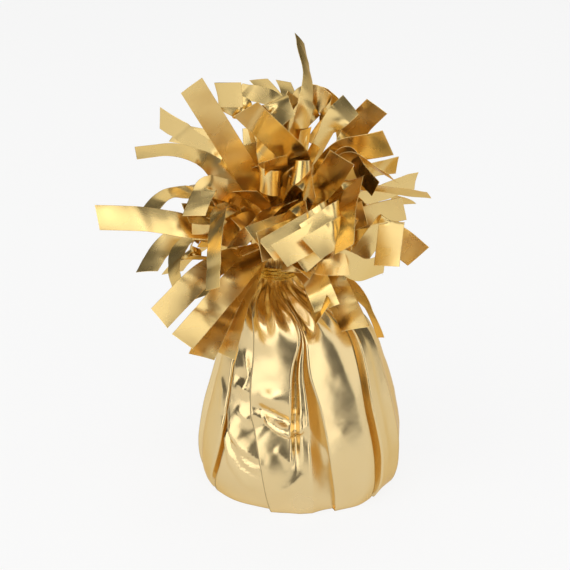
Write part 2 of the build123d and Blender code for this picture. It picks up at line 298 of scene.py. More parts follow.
# %% Creases of the back
back_valleys = (372, 396, 420, 446, 474, 500, 524)
groove = ((-4.5, 0.6), (0, -2.8), (4.0, 0.6))
overlap = ((-6, 0.2), (2.5, -1.4), (-1.5, 0.7))
panel_turn, panel_out, valley_wander = 12, 0.3, 2.5
height_share = np.array([0.25, 1, 1, 0.75, 0.35, 0.2, 0])
fold_spread = 0.6 + 0.4 * height_share
rng = np.random.default_rng(5)
back_creases = []
for count, valley in enumerate(back_valleys):
    drift = rng.uniform(-valley_wander, valley_wander, len(crease_heights))
    for turn, out in groove if count % 3 != 1 else overlap:
        back_creases.append((sharp, valley + turn * fold_spread + drift, out * height_share))
    if count + 1 < len(back_valleys):
        back_creases.append((soft, valley + panel_turn + drift, panel_out * height_share))
creases = list(front_creases) + back_creases
crease_soft = np.array([kind for kind, _, _ in creases])
crease_turns = np.array([turns for _, turns, _ in creases], float).T
crease_outs = np.array([outs for _, _, outs in creases], float).T
print("creases", crease_turns.shape[1])


# %% Panels between the creases
corner_height, bow_height, softening_passes = 9, 8, 24


def wrap_outline(z):
    """Plain radius and sideways lean of the wrap at each height."""
    radius = smooth_through(z, outline_heights, outline_radii)
    return radius, smooth_through(z, lean_heights, lean_shift)


def corner_drop(turn):
    """How far a straight-sided base lies inside the circle of its corners, as a share of the radius."""
    corners = np.array(base_corners, float)
    azimuth = (np.degrees(turn) - corners[0]) % 360 + corners[0]
    k = np.clip(np.searchsorted(corners, azimuth, side="right") - 1, 0, len(corners) - 2)
    middle, half = (corners[k + 1] + corners[k]) / 2, (corners[k + 1] - corners[k]) / 2
    return 1 - np.cos(np.radians(half)) / np.cos(np.radians(azimuth - middle))


def soften(points, free, passes):
    """Average each column with its two neighbours, many times; only the free columns move."""
    for _ in range(passes):
        beside = (np.roll(points, 1, axis=1) + np.roll(points, -1, axis=1)) / 2
        points = points + 0.5 * free[None, :, None] * (beside - points)
    return points


def wrap_panels(z, column_step):
    """Points of the wrap: straight across from crease to crease, bowed out by the arc's own rise."""
    radius, lean = wrap_outline(z)
    turn = np.radians(smooth_through(z, crease_heights, crease_turns))
    turn = np.concatenate([turn, turn[:, :1] + 2 * pi], axis=1)
    out = smooth_through(z, crease_heights, crease_outs)
    out = np.concatenate([out, out[:, :1]], axis=1)
    cornered = np.clip(1 - z / corner_height, 0, 1)[:, None] ** 2
    reach = radius[:, None] * (1 - cornered * corner_drop(turn)) + out
    x, y = lean[:, None] + reach * np.cos(turn), reach * np.sin(turn)
    lines = np.stack([x, y, z[:, None] + 0 * turn], axis=-1)
    widths = np.linalg.norm(lines[:, 1:] - lines[:, :-1], axis=-1)
    counts = np.maximum(3, np.round(widths.mean(axis=0) / column_step)).astype(int)
    segment = np.repeat(np.arange(len(counts)), counts)
    share = np.concatenate([np.arange(c) / c for c in counts])[None, :, None]
    points = (1 - share) * lines[:, segment] + share * lines[:, segment + 1]
    swell = np.clip(z / bow_height, 0, 1)[:, None] * widths[:, segment] ** 2 / (8 * radius[:, None])
    middle = (1 - share[..., 0]) * turn[:, segment] + share[..., 0] * turn[:, segment + 1]
    bow = 4 * share[..., 0] * (1 - share[..., 0]) * swell
    points[..., 0] += bow * np.cos(middle)
    points[..., 1] += bow * np.sin(middle)
    on_crease = share[0, :, 0] == 0
    free = np.where(on_crease & (crease_soft[segment] == sharp), 0.0, 1.0)
    return soften(points, free, softening_passes)


hem_rows, low_rows = [0, 0.3, 0.8, 1.6, 2.6], np.linspace(3.6, 19.5, 20)
marked_rows, high_rows = np.linspace(20.2, 42, 42), np.linspace(42.9, 66.5, 27)
wrap_z = np.concatenate([hem_rows, low_rows, marked_rows, high_rows])
wrap_points = wrap_panels(wrap_z, column_step=0.56)
print("wrap grid", wrap_points.shape)

# %% [markdown]
# ### Dents, swags and crumples
# Where a hand has pressed the film it has smaller marks: a sagging lip over a dent at the front, with a
# trough above it, swags that sweep down from the left fold, and crumples beside it. Such a mark is a
# path over the skin. The height of the skin beside it falls away with distance, which leaves a sharp
# crest on the path itself. Bulges and dents are soft windows on the skin. Just below the tie the film
# fans out in small pleats, a triangle wave round the neck. Crumpled film is flat facets, and a sum of
# triangle waves in several directions has flat facets too.


# %% Marks on the film
def skin_place(points, z):
    """Where each point lies on the skin: width from the front middle and height, both in millimetres."""
    radius, lean = wrap_outline(z)
    turn = np.arctan2(points[..., 1], points[..., 0] - lean[:, None]) % (2 * pi)
    return (turn - 1.5 * pi) * radius[:, None], points[..., 2]


def path_on_skin(path):
    """Azimuths and heights of a path, as widths from the front middle and heights."""
    azimuth, height = np.array(path, float).T
    return np.radians(azimuth - 270) * wrap_outline(height)[0], height


def from_path(across, up, path):
    """Distance of each point to a path, signed by side (above is positive), and how far along it is."""
    px, pz = path_on_skin(path)
    runs = np.concatenate([[0], np.cumsum(np.hypot(np.diff(px), np.diff(pz)))])
    best = np.full(across.shape, np.inf)
    side = np.zeros(across.shape)
    along = np.zeros(across.shape)
    for k in range(len(px) - 1):
        dx, dz = px[k + 1] - px[k], pz[k + 1] - pz[k]
        share = np.clip(((across - px[k]) * dx + (up - pz[k]) * dz) / (dx * dx + dz * dz), 0, 1)
        gap = np.hypot(across - px[k] - share * dx, up - pz[k] - share * dz)
        nearer = gap < best
        best = np.where(nearer, gap, best)
        side = np.where(nearer, np.sign(dx * (up - pz[k]) - dz * (across - px[k])), side)
        along = np.where(nearer, (runs[k] + share * (runs[k + 1] - runs[k])) / runs[-1], along)
    return best, side, along


def crest(across, up, path, height, width):
    """Sharp crest along a path that fades at both ends and falls away on both sides."""
    gap, _, along = from_path(across, up, path)
    return height * np.exp(-gap / width) * np.sqrt(np.clip(4 * along * (1 - along), 0, 1))


edge_start, edge_width = 0.9, 1.6
sag_middle, sag_width = 0.3, 1.4


def lip(across, up, path, over, under, width_over, width_under):
    """Sagging fold along a path: film above it stands out, film below is drawn in, round between."""
    gap, side, along = from_path(across, up, path)
    fade = np.clip(5 * along * (1 - along), 0, 1)
    signed = gap * side
    edge = np.clip((signed + edge_start) / edge_width, 0, 1)
    edge = edge * edge * (3 - 2 * edge)
    above = over * np.exp(-np.maximum(signed, 0) / width_over)
    below = -under * np.clip(1 + np.minimum(signed, 0) / width_under, 0, 1)
    near = np.exp(-(((signed - sag_middle) / sag_width) ** 2))
    return fade * (edge * above + (1 - edge) * below), fade * near


def triangle_wave(x):
    """Wave of straight flanks between -1 and 1."""
    return 4 * np.abs(x - np.floor(x + 0.5)) - 1


def crumple(across, up, wave, seed, ways=5):
    """Facets: triangle waves in several directions, of about the given wavelength."""
    draw = np.random.default_rng(seed)
    total = np.zeros(across.shape)
    for k in range(ways):
        angle, phase = pi * (k + draw.uniform(0, 0.8)) / ways, draw.uniform()
        length = wave * draw.uniform(0.7, 1.5)
        total += triangle_wave((across * cos(angle) + up * sin(angle)) / length + phase) / ways
    return total


def patch(across, up, azimuth, height, half_width, half_height):
    """Soft window round a place on the skin."""
    px, pz = path_on_skin([(azimuth, height)])
    return np.exp(-(((across - px) / half_width) ** 2) - ((up - pz) / half_height) ** 2)


# %% Marks placed on the wrap
# A path is azimuths and heights. A fold: its path, how far film stands out above and is drawn in below,
# and how wide each of these is.
front_lip = ((244, 31.5), (249, 28.7), (255, 26.8), (262.5, 25.6), (269, 26.2), (273.5, 27.8))
folds = (
    (front_lip, 1.7, 2.0, 1.6, 17.0),
    (((218.5, 29), (224, 23.5), (232, 19), (240, 16.5), (248.5, 15)), 1.3, 0.8, 1.8, 2.6),
    (((219.5, 27), (227, 19.5), (236, 14.5), (249, 11)), 1.0, 0.6, 1.6, 2.4),
    (((219.5, 22), (226, 13.5), (236, 8), (247, 5)), 0.7, 0.4, 1.6, 2.4),
)
sag_share = 0.7
trough = ((244, 31.8), (250, 31), (257, 29.9), (263, 28.8))
trough_depth, trough_width = 1.7, 1.5
# A crest: its path, height and width.
crests = (
    (((255, 21), (264, 17)), 0.4, 0.9),
    (((261, 16), (266, 18.5)), 0.35, 0.8),
    (((251, 5), (262, 8.5), (271, 14)), 0.5, 1.4),
    (((205, 36), (212, 33), (214, 27)), 0.6, 1.0),
    (((224, 46), (231, 40), (228, 33)), 0.9, 1.2),
    (((223, 37), (235, 34.5)), 0.7, 1.0),
    (((226, 30), (238, 26)), 0.7, 1.0),
)
# A bulge or a dent: azimuth, height, half width, half height, and how far it stands out.
bulges = ((251.5, 35.5, 4.2, 2.4, 1.2), (266, 29.5, 1.4, 1.8, 0.9), (284, 57.5, 1.6, 4.5, -1.2))
# Crumples all over: depth, wavelength and seed. In a window: its four numbers come first.
all_over = ((0.19, 12.0, 3), (0.05, 5.0, 4))
crumpled = ((228, 36, 5, 8, 0.5, 7.0, 8), (260, 31, 5, 5, 0.3, 5.0, 9))
fan_pleats, fan_lean, fan_depth, fan_start, fan_rise = 21, 0.02, 0.9, 52, 8


def wrap_marks(across, up):
    """Sum of all marks: how far out, and how far down, they move the plain panels."""
    total, down = np.zeros(across.shape), np.zeros(across.shape)
    for depth, wave, seed in all_over:
        total += depth * crumple(across, up, wave, seed)
    for path, over, under, width_over, width_under in folds:
        out, near = lip(across, up, path, over, under, width_over, width_under)
        total += out
        down += sag_share * over * near
    for path, height, width in crests:
        total += crest(across, up, path, height, width)
    total -= trough_depth * np.exp(-((from_path(across, up, trough)[0] / trough_width) ** 2))
    for *window, out in bulges:
        total += out * patch(across, up, *window)
    fan = triangle_wave(across / wrap_outline(up)[0] * fan_pleats / (2 * pi) + fan_lean * up)
    total += fan_depth * fan * np.clip((up - fan_start) / fan_rise, 0, 1)
    for *window, depth, wave, seed in crumpled:
        total += depth * patch(across, up, *window) * crumple(across, up, wave, seed)
    return total, down


print("marks", len(folds) + len(crests) + len(bulges) + len(crumpled))

# %% Folded wrap
hem_fade, tie_height, tie_fade = 2.5, 63.4, 4
block_foot, block_taper = 26.9, 3.2
film_thickness, base_height = 0.1, 0.12


def mark_wrap(points, z):
    """Move the points out by the marks, along the skin's outward slope, and keep them off the block."""
    radius, lean = wrap_outline(z)
    across, up = skin_place(points, z)
    fade = (np.clip(z / hem_fade, 0, 1) * np.clip((tie_height - z) / tie_fade, 0, 1))[:, None]
    marks, down = wrap_marks(across, up)
    marks, down = marks * fade, down * fade
    turn = np.arctan2(points[..., 1], points[..., 0] - lean[:, None])
    slope = np.gradient(radius, z)[:, None]
    flat = 1 / np.sqrt(1 + slope**2)
    tilt = -slope * flat * np.ones_like(turn)
    outward = np.stack([np.cos(turn) * flat, np.sin(turn) * flat, tilt], axis=-1)
    moved = points + marks[..., None] * outward
    moved[..., 2] -= down
    _, (_, _, block_top) = [np.array(corner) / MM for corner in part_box("weight_core")]
    block = np.where(z < block_top, block_foot - block_taper * z / block_top, 0)[:, None]
    reach = np.hypot(moved[..., 0] - lean[:, None], moved[..., 1])
    push = np.maximum(block / np.maximum(reach, 0.1), 1)
    moved[..., 0] = lean[:, None] + (moved[..., 0] - lean[:, None]) * push
    moved[..., 1] *= push
    return moved


side_rows = mark_wrap(wrap_points, wrap_z)
hem_share = np.array([0.04, 0.2, 0.45, 0.7, 0.88, 0.97])[:, None, None]
hem = side_rows[:1] * hem_share
hem[..., 2] = base_height
wrap_grid = np.concatenate([hem, side_rows])
film_wrap = surface("film_wrap_folds", wrap_grid, ring=True, pole=(0, 0, base_height))
wrap_shell = film_wrap.modifiers.new("thickness", "SOLIDIFY")
wrap_shell.thickness = film_thickness * MM
wrap_shell.offset = -1
film_wrap.data.materials.append(wrap_gold)
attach(film_wrap, "weight")
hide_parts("film_wrap")
print("wrap faces", len(film_wrap.data.polygons))

# %% [markdown]
# ## The gathered neck
# Under the tie the film is squeezed into many small plies, and above it they swell into the crown that
# the strips spring from. It is a surface of revolution whose radius ripples sharply round the neck.

# %% Gathered neck
gather_low, gather_high = [np.array(corner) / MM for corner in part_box("neck_gather")]
neck_x = (gather_low[0] + gather_high[0]) / 2
crown_z, crown_r, crown_rise, waist_r = 76.0, 8.0, 11.0, 6.2
neck_sink, crown_close, least_reach = 0.6, 0.5, 0.02
ply_count, ply_lean, ply_depth = 19, 0.012, 0.09


def gathered_neck(rows, columns):
    """Radius of waist then egg-shaped crown, times plies: triangle waves that lean with height."""
    tall = gather_high[2] - gather_low[2] + neck_sink
    z = gather_low[2] - neck_sink + tall * np.sin(np.linspace(0, pi / 2, rows))
    egg = crown_r * np.sqrt(np.clip(1 - ((z - crown_z) / crown_rise) ** 2, 0, 1))
    radius = np.where(z < crown_z, np.maximum(egg, waist_r), egg)
    turn = np.linspace(0, 2 * pi, columns, endpoint=False)
    twist = turn[None, :] * ply_count / (2 * pi) + ply_lean * (z[:, None] - gather_low[2])
    plies = 0.6 * triangle_wave(twist) + 0.4 * triangle_wave(twist * 2 + 0.3)
    reach = radius[:, None] * (1 - ply_depth * (1 - plies))
    top = np.clip((gather_high[2] - z) / crown_close, 0, 1)[:, None]
    reach = np.maximum(reach * top, least_reach)
    x, y = neck_x + reach * np.cos(turn), reach * np.sin(turn)
    return np.stack([x, y, z[:, None] + 0 * turn], axis=-1)


neck_points = gathered_neck(rows=70, columns=304)[::-1, ::-1]
neck_top, neck_bottom = (neck_x, 0, gather_high[2]), (neck_x, 0, neck_points[-1, 0, 2])
neck = surface("neck_plies", neck_points, ring=True, pole=neck_top, far_pole=neck_bottom)
neck.data.materials.append(strip_gold)
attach(neck, "weight")
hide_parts("neck_gather")
print("neck faces", len(neck.data.polygons))

# %% [markdown]
# ## The tinsel tie
# The thread is a loose bundle of fine tinsel strands, wound three times round the neck and knotted at
# the back. Every strand is a tube carried along the same winding, with its own slow wander, so that
# strands cross.

# %% Tinsel tie
tie_low, _ = [np.array(corner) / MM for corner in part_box("neck_tie")]
thread, tie_gap = 0.6, 0.1
tie_turns, tie_open, tie_pitch = 3, radians(50), 1.1
wind_r = waist_r + tie_gap + thread / 2
wind_angle = 2 * pi * tie_turns - 2 * tie_open
wind_z = tie_low[2] + thread / 2
knot_y = wind_r / cos(tie_open)


def winding(steps):
    """Centre line of the thread: straight from the knot, round the neck as a helix, and straight back."""
    angle = np.linspace(0, wind_angle, steps)
    turn = pi / 2 + tie_open + angle
    height = wind_z + tie_pitch * angle / (2 * pi)
    helix = np.stack([wind_r * np.cos(turn), wind_r * np.sin(turn), height], axis=-1)
    share = np.linspace(0, 1, 8)[:-1, None]
    start = np.array([0, knot_y, helix[0, 2]])
    end = np.array([0, knot_y, helix[-1, 2]])
    run_in = start + share * (helix[0] - start)
    run_out = end + share[::-1] * (helix[-1] - end)
    return np.concatenate([run_in, helix, run_out]) + np.array([neck_x, 0, 0])


def tube(path, radius, sides):
    """Ring of points round each point of a path, in the plane across it."""
    along = np.gradient(path, axis=0)
    along /= np.linalg.norm(along, axis=-1, keepdims=True)
    across = np.cross(along, [0, 0, 1.0])
    across /= np.linalg.norm(across, axis=-1, keepdims=True)
    over = np.cross(along, across)
    turn = np.linspace(0, 2 * pi, sides, endpoint=False)[None, :, None]
    return path[:, None] + radius * (np.cos(turn) * across[:, None] + np.sin(turn) * over[:, None])


strand_count, strand_r, strand_sides = 9, 0.17, 5
strand_out, strand_sway, strand_climb = 0.12, 0.28, 0.62


def tie_strand(number, steps=230):
    """One strand: the winding, shifted out and up by slow waves of its own."""
    draw = np.random.default_rng(40 + number)
    path = winding(steps)
    far = np.linspace(0, 2 * pi * tie_turns, len(path))
    wander = draw.uniform(0.6, 1.6, 2)
    phase = draw.uniform(0, 2 * pi, 2)
    out = strand_out + strand_sway * np.sin(wander[0] * far + phase[0])
    up = strand_climb * np.sin(wander[1] * far + phase[1])
    away = (path - [neck_x, 0, 0]) * [1, 1, 0]
    path += out[:, None] * away / np.linalg.norm(away, axis=-1, keepdims=True)
    path[:, 2] += up
    return tube(path, strand_r, strand_sides)


for number in range(strand_count):
    rings = tie_strand(number)
    start, end = rings[0].mean(axis=0), rings[-1].mean(axis=0)
    strand = surface(f"tie_strand_{number}", rings, ring=True, pole=start, far_pole=end)
    strand.data.materials.append(tinsel)
    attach(strand, "weight")
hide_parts("neck_tie")

# %% Knot at the back
knot_low, knot_high = [np.array(corner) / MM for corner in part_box("tie_knot")]
pole_gap, ridge_height, knot_fill = 0.06, 0.12, 0.95


def knot_form(rows, columns):
    """Egg shape with spiral ridges, as thread wound on itself."""
    rise = np.linspace(-pi / 2 + pole_gap, pi / 2 - pole_gap, rows)[:, None]
    turn = np.linspace(0, 2 * pi, columns, endpoint=False)[None, :]
    ridge = 1 + ridge_height * np.abs(np.sin(3 * turn + 4 * rise))
    half = (knot_high - knot_low) / 2
    middle = (knot_high + knot_low) / 2
    x = middle[0] + half[0] * ridge * np.cos(rise) * np.cos(turn) * knot_fill
    y = middle[1] + half[1] * ridge * np.cos(rise) * np.sin(turn) * knot_fill
    z = middle[2] + half[2] * np.sin(rise) + 0 * turn
    return np.stack([x, y, z], axis=-1)


knot_rings = knot_form(rows=40, columns=60)
knot_foot, knot_tip = knot_rings[0].mean(axis=0), knot_rings[-1].mean(axis=0)
knot = surface("tie_knot_wound", knot_rings, ring=True, pole=knot_foot, far_pole=knot_tip)
knot.data.materials.append(tinsel)
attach(knot, "weight")
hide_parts("tie_knot")
print("knot faces", len(knot.data.polygons))

# %% [markdown]
# ## The fringe
# A strip is a flat ribbon of film. It starts at the crown with a heading: azimuth, rise, and roll about
# its own length. Each turn bends that heading evenly to a new one. Walking along the heading gives the
# middle line, and the roll says which way the ribbon's flat side faces. The rows are the same ones that
# the solid strips are made from, so that the film lies where they are. The film adds what a solid
# can't: a cupped section, a pleat at the root, a slight twist, an end that isn't cut quite square,
# waves along the edges and a few soft creases.

# %% Strips as cut and bent
upper_left_strips = (
    ((-141, 60, 75), ((1, 19, -148, 58, 73),), 46),
    ((125, 63, 38), ((25, 30, 188, 32, 113), (35, 40, 323, 8, 81)), 48),
    ((85, 53, 65), ((28, 36, 175, 14, -19),), 46),
    ((127, 37, -8), ((19, 33, 155, 5, -36),), 42),
    ((171, 45, -49), ((15, 24, 196, 28, -24), (25, 35, 192, -4, -14)), 42),
    ((117, 50, -16), ((6, 18, 94, 44, 6),), 26),
)
top_strips = (
    ((-47, 64, -3), ((9, 23, -148, 44, 83),), 43),
    ((86, 45, 24), ((28, 38, 137, 36, -16),), 46),
    ((84, 39, 46), ((38, 44, 116, 48, 25),), 47),
    ((9, 79, 77), ((7, 23, 58, 63, 90), (26, 41, 110, 50, 62)), 50),
    ((114, 72, 27), ((20, 26, 148, 117, -11), (28, 34, 112, 220, 63)), 40),
    ((74, 48, 76), ((32, 42, -46, -23, 79), (43, 52, -81, -33, 60)), 57),
    ((70, 60, 69), ((29, 37, -32, -28, 86), (40, 48, -139, -41, 173)), 56),
    ((27, 45, -73), ((21, 27, -27, 62, -76), (29, 35, -22, 46, -89)), 40),
    ((-5, 54, -38), ((17, 25, -27, 15, -65),), 37),
)
right_strips = (
    ((-19, 49, -49), ((21, 29, -43, -18, -55),), 41),
    ((20, 34, -77), ((13, 23, 19, 7, -58),), 34),
    ((-8, 36, -42), ((13, 21, -28, 2, -51), (22, 30, -10, -6, -49)), 41),
    ((15, 18, -74), ((10, 24, 21, 14, -63),), 37),
    ((-22, 17, -84), ((15, 23, -14, 18, -96),), 32),
    ((-51, 0, -80), ((23, 26, 3, 54, -65), (40, 43, -101, -45, 9)), 56),
    ((-13, 6, -69), ((20, 30, -48, -21, -102),), 37),
)
front_strips = (
    ((-47, 24, -52), ((12, 22, -128, 1, -41),), 50),
    ((-42, 25, -44), ((17, 25, -103, -5, -7),), 47),
    ((-71, 12, -76), ((20, 28, -105, -4, -21),), 40),
    ((-35, 40, -33), ((19, 31, -98, -7, 39), (45, 56, -93, -39, 47)), 62),
    ((-63, 37, -22), ((25, 35, -63, 48, -27),), 42),
    ((-85, 44, 27), ((5, 19, -124, -19, 8),), 35),
    ((-95, 70, 62), ((9, 15, -150, -6, 80), (15, 30, 125, -12, 84)), 31),
    ((-66, 58, -21), ((11, 16, 4, 23, -80), (16, 31, -285, -12, -76)), 32),
)
left_strips = (
    ((-157, 45, -71), ((9, 12, -152, 19, -57), (18, 21, -109, -29, 7)), 31),
    ((169, 27, -7), ((11, 21, 191, 2, -10), (23, 31, 227, -28, 4)), 36),
    ((-154, 11, -3), ((6, 21, -171, 16, -53), (23, 37, -167, 6, -61)), 46),
    ((170, 1, -10), ((14, 23, 218, -21, -5), (24, 32, 237, -36, 25)), 37),
    ((-172, 3, -10), ((13, 23, -108, -27, 26), (24, 34, -76, -32, 78)), 38),
    ((-130, 32, -38), ((13, 25, -96, -19, 31), (26, 38, -94, -55, 36)), 48),
)
low_strips = (
    ((-134, -5, -28), ((13, 27, -128, -23, -33),), 42),
    ((-109, -1, -1), ((7, 23, -124, -23, -30),), 49),
    ((-138, -31, -9), ((3, 13, -104, -49, 16),), 25),
    ((-121, -19, -9), ((13, 23, -113, -31, -26),), 41),
    ((-126, -28, -10), ((8, 18, -108, -41, 11),), 33),
    ((-58, -4, -89), ((13, 23, -65, -32, -142),), 40),
    ((-64, -8, 82), ((13, 17, -86, -16, 37), (25, 29, -79, -8, 41)), 36),
    ((-24, -25, -79), ((16, 26, -21, -62, -48),), 35),
)
back_rows = (((18, 8), (8, 44, 6, -32, -12), 46), ((-14, -6), (8, 44, -5, -48, 14), 42))
back_strips = []
for k in range(10):
    (rise, roll), (start, end, turn, end_rise, end_roll), length = back_rows[k % 2]
    azimuth = 36 + 11.5 * k
    bend = (start, end, azimuth + turn, end_rise, end_roll)
    back_strips.append(((azimuth, rise, roll), (bend,), length))
strip_rows = [*upper_left_strips, *top_strips, *right_strips, *front_strips]
strip_rows += [*left_strips, *low_strips, *back_strips]
print("strips", len(strip_rows))

# %% Ribbon of film from its headings
strip_width, root_width, spread_length, strip_seat = 7.2, 2.4, 10.0, 0.35
root_sink, sink_length, end_step = 1.6, 3, 0.1
pleat_height, crease_count, tip_length, skew_length = 1.1, 3, 7, 4


def strip_frame(row, step):
    """Middle line of a strip and its directions along, across and off the film, at even steps."""
    root, turns, length = row
    s = np.append(np.linspace(0, length - end_step, int(length / step) + 1), length)
    stops, headings = [0.0], [root]
    for start, end, *to in turns:
        stops += [start, end]
        headings += [headings[-1], to]
    columns = np.array(headings, float).T
    azimuth, rise, roll = [np.radians(np.interp(s, stops, column)) for column in columns]
    level = np.stack([np.cos(azimuth), np.sin(azimuth), 0 * s], axis=-1)
    upward = np.array([0, 0, 1.0])
    along = np.cos(rise)[:, None] * level + np.sin(rise)[:, None] * upward
    lift = np.cos(rise)[:, None] * upward - np.sin(rise)[:, None] * level
    side = np.stack([-np.sin(azimuth), np.cos(azimuth), 0 * s], axis=-1)
    across = np.cos(roll)[:, None] * side + np.sin(roll)[:, None] * lift
    seat = along[0] * [crown_r, crown_r, crown_rise] + [neck_x, 0, crown_z] + strip_seat * along[0]
    walk = (along[1:] + along[:-1]) / 2 * np.diff(s)[:, None]
    middle = seat + np.concatenate([[[0, 0, 0]], np.cumsum(walk, axis=0)])
    return s, middle, along, across, np.cross(along, across)


def strip_film(row, seed, twist=0.0, step=0.6):
    """Ribbon: the middle line spread across, plus cup, pleat, twist, waves, creases and end skew."""
    draw = np.random.default_rng(seed)
    s, middle, along, across, off = strip_frame(row, step)
    length = s[-1]
    t = np.array([-1, -0.97, -0.75, -0.5, -0.25, 0, 0.25, 0.5, 0.75, 0.97, 1])[None, :]
    grown = np.clip(s / spread_length, 0, 1)[:, None]
    half = (root_width + (strip_width - root_width) * grown) / 2
    cup = draw.uniform(-0.2, 0.2) * (1 - t**2) * grown
    pleat = draw.choice([-1, 1]) * pleat_height * (1 - grown) * (1 - np.abs(t))
    sway, wavelength, phase = draw.uniform(0.04, 0.16), draw.uniform(13, 24), draw.uniform(0, 6)
    wave = sway * t * np.sin(2 * pi * s[:, None] / wavelength + phase)
    height = cup + pleat + wave * grown + np.tan(np.radians(twist)) * t * half * grown
    for _ in range(crease_count):
        place, slant = draw.uniform(0.3, 1.0) * length, draw.uniform(-0.8, 0.8)
        depth, reach = draw.uniform(-0.45, 0.45), draw.uniform(2.0, 5.0)
        away = np.abs(s[:, None] - place + slant * t * half)
        height = height + depth * np.clip(1 - away / reach, 0, 1)
    tip = np.clip((s - length + tip_length) / tip_length, 0, 1)[:, None]
    height = height + draw.uniform(-0.7, 0.7) * tip**2
    at_end = np.clip((s[:, None] - length + skew_length) / skew_length, 0, 1)
    skew = draw.uniform(-0.9, 0.9) * t * at_end
    sunk = -root_sink * np.clip(1 - s / sink_length, 0, 1)[:, None] + 0 * t
    points = middle[:, None] + (t * half)[..., None] * across[:, None]
    points = points + height[..., None] * off[:, None]
    return points + (skew + sunk)[..., None] * along[:, None]


def film_piece(name, points, body):
    """Film surface with its thickness, gold, riding on a body."""
    piece = surface(name, points)
    shell = piece.modifiers.new("thickness", "SOLIDIFY")
    shell.thickness = film_thickness * MM
    shell.offset = 0
    piece.data.materials.append(strip_gold)
    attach(piece, body)
    return piece


# %% Strips in place
# Degrees, one line for each group of strips above.
strip_twists = (
    *(0, 9, -9, 0, 0, -18),
    *(-18, 18, 0, -9, -9, 9, 0, 0, -18),
    *(18, 0, 18, 0, 27, 0, -27),
    *(-27, 0, -12, 0, -18, 9, 9, 0),
    *(0, 0, 0, -18, 0, 18),
    *(0, 9, 0, 0, -27, -27, 18, 9),
    *(0,) * 10,
)
for number, row in enumerate(strip_rows, 1):
    node = f"fringe_strip_{number:02d}"
    film = strip_film(row, seed=100 + number, twist=strip_twists[number - 1])
    ribbon = film_piece(f"film_strip_{number:02d}", film, node_body[node])
    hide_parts(node)
print("film strips", len(strip_rows))

# %% [markdown]
# ### The strips between
# Fringe is cut through many plies, so strips lie in stacks and the heart of it is packed. Some of those
# between can be told in the photograph. With short ones at the heart they are the group of strips in
# the solid part. More lie closer together than solids can, so those are film alone: first those that
# the photograph shows lying on another strip, such as the stack at the front, then short ones spread
# evenly over the crown by the golden angle. The short ones close the view to the crown, and the light
# that gets lost among them, with the painted shade of the strips' deeper gold, is what turns the heart
# of the fringe brown. Those low at the front, where the stack lies, are left out, and so are those that
# a swinging strip would meet.

# %% Strips between
between_strips = (
    ((147, 43, -20), ((15, 25, 143, 20, -98),), 44),
    ((-177, 13, -29), ((12, 18, -106, -20, -26),), 24),
    ((-39, 31, -34), ((15, 23, -105, -5, -15),), 45),
    ((-77, 11, -75), ((20, 28, -106, -26, -7),), 33),
    ((-64, 7, 84), ((27, 33, 15, -37, 105), (34, 40, 46, 4, 106)), 46),
    ((-41, -13, 88), ((5, 13, -56, -4, 85),), 21),
    ((-15, 29, -77), ((12, 18, -32, -41, -102),), 21),
    ((61, 66, 71), ((21, 27, 46, 28, 66),), 31),
    ((3, 64, -54), ((24, 31, 53, 18, -142),), 36),
    ((-167, 72, -62), ((0, 10, -229, 69, -13),), 18),
    ((-145, 83, -55), ((1, 11, -229, 80, 5),), 21),
    ((-160, 38, -60), ((3, 13, -93, -17, -6),), 29),
    ((-111, 25, -62), ((12, 17, -127, -1, -28),), 20),
)
heart_strips = (
    ((10, -23, 16), ((5, 15, 47, -21, -17),), 23),
    ((202, -18, 8), ((5, 15, 240, -31, 28),), 23),
    ((325, -4, -33), ((5, 15, 348, -12, -30),), 23),
    ((18, -6, 21), ((5, 15, 47, -27, 38),), 23),
    ((162, -29, 40), ((5, 15, 150, -36, 24),), 23),
    ((270, 21, 70), ((5, 15, 265, 3, 67),), 23),
    ((183, -14, 7), ((5, 15, 187, -55, -24),), 23),
    ((359, 4, -32), ((5, 15, 388, -36, -8),), 23),
    ((246, 5, 5), ((5, 15, 276, 17, 24),), 23),
    ((63, 25, -3), ((5, 15, 62, 36, 5),), 23),
    ((207, 25, -13), ((5, 15, 210, 11, -37),), 23),
    ((326, 16, 48), ((5, 15, 345, 27, 63),), 22),
)
between_twists = {9: 8, 11: -8}
for number, row in enumerate((*between_strips, *heart_strips), 1):
    film = strip_film(row, seed=300 + number, twist=between_twists.get(number, 0))
    film_piece(f"film_between_{number:02d}", film, "weight")
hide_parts("fringe_between")

# %% Film that lies closer still
close_rows = [
    ((-15, 50, -32), ((21, 27, -70, -32, -86), (28, 34, -51, -28, -78)), 39),
    ((-73, 0, 43), ((23, 29, -59, -47, 36),), 36),
    ((-176, 2, 10), ((13, 18, -122, -55, 55), (19, 24, -26, 14, -20)), 28),
    ((-47, 30, -46), ((10, 20, -129, 1, -41),), 47),
    ((-77, 32, 31), ((24, 31, -86, -31, 80),), 37),
    ((-73, 43, 23), ((25, 33, -86, -30, 76),), 41),
    ((-59, 2, 77), ((14, 20, -33, 8, 131),), 24),
    ((76, 66, 53), ((17, 25, 59, 54, 49),), 31),
    ((-66, 21, 89), ((33, 41, -154, -21, 119),), 56),
    ((-66, 19, 84), ((36, 44, -151, -22, 121),), 51),
    ((-64, 24, -86), ((34, 42, -155, -23, -45),), 50),
    ((-68, 16, 60), ((26, 34, -128, -16, 117),), 43),
    ((-71, 5, 50), ((21, 29, -24, 8, 72),), 34),
    ((-66, 25, -67), ((31, 39, -158, -24, -47),), 56),
]
short_count, golden_angle, lowest_rise, rise_span = 44, 137.5, -8, 82
in_the_way = (22, 33, 35, 38)
draw = np.random.default_rng(12)
